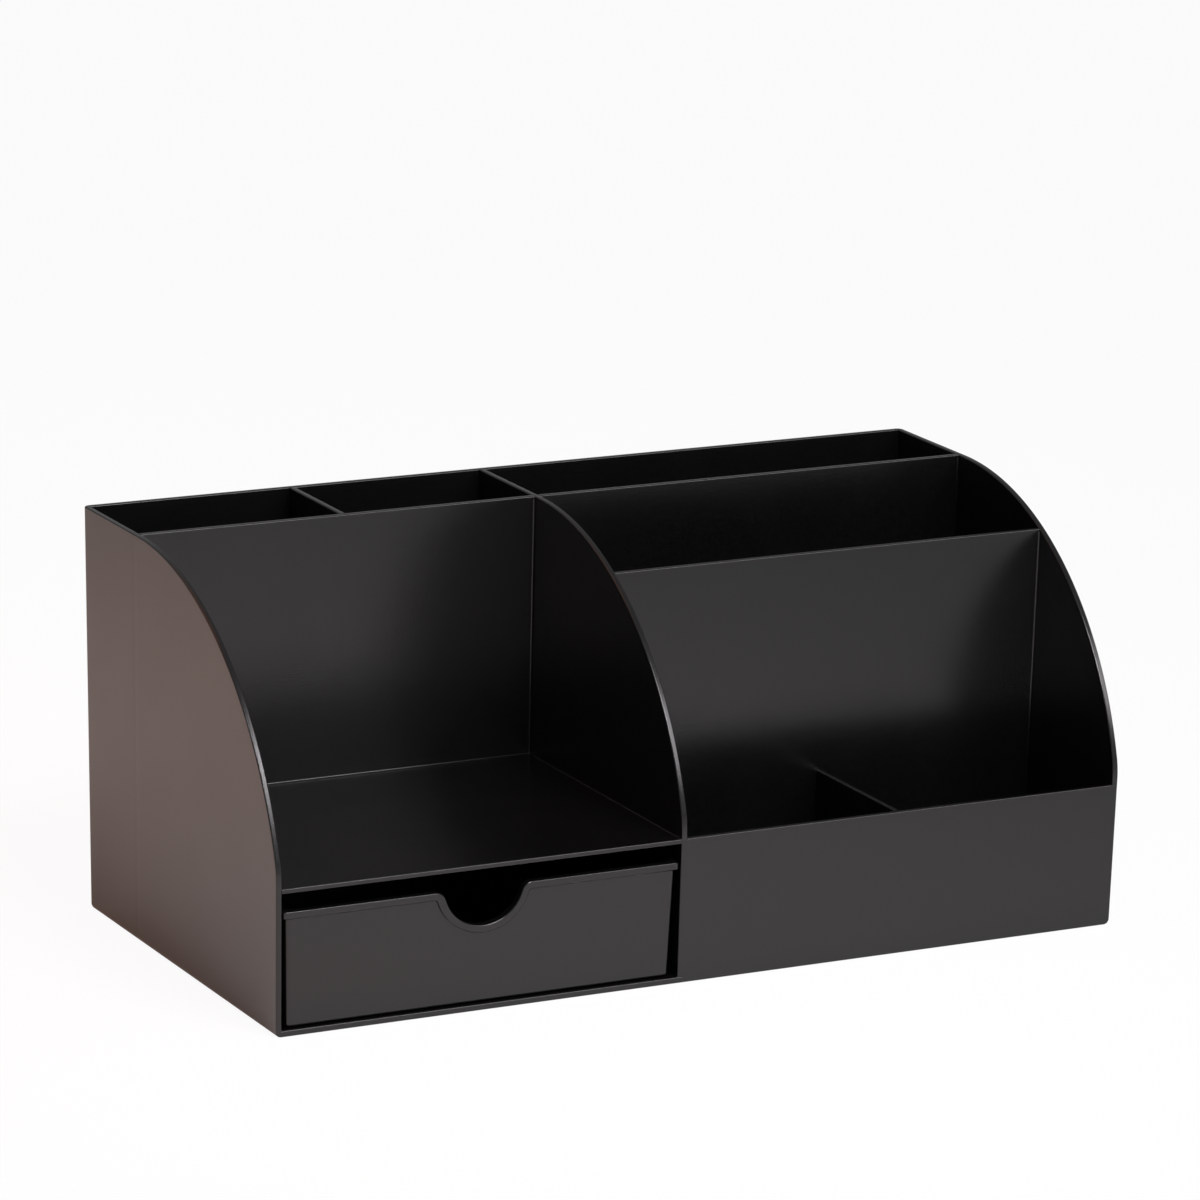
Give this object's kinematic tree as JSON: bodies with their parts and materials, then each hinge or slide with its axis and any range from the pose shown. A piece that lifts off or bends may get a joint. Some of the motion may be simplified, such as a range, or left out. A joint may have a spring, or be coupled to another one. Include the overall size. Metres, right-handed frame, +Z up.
{
  "type": "desk organizer",
  "caption": "Smooth black moulded desk organizer with arched side panels, pen cups, letter slots, a low front bin, a note shelf and a drawer with a finger notch that slides out below it.",
  "frame": {"origin": "middle of the footprint's box, on the surface that the base stands on", "axes": "+X to the right along the width, +Y from the front to the back, +Z up"},
  "size_m": [0.285, 0.1418, 0.127],
  "materials": {
    "body_plastic": "smooth black moulded polystyrene with a fine satin grain",
    "drawer_plastic": "smooth black moulded polystyrene with a fine satin grain"
  },
  "bodies": {
    "organizer": {"body_shell": "body_plastic", "centre_panel": "body_plastic", "pen_cup_wall": "body_plastic", "pen_cup_divider": "body_plastic", "note_shelf": "body_plastic", "slot_divider": "body_plastic", "slot_front_wall": "body_plastic", "bin_divider": "body_plastic"},
    "drawer": {"drawer": "drawer_plastic"}
  },
  "joints": [
    {"name": "drawer_slide", "type": "slide", "parent": "organizer", "child": "drawer", "axis": [0, -1, 0], "range_m": [0, 0.08]}
  ]
}
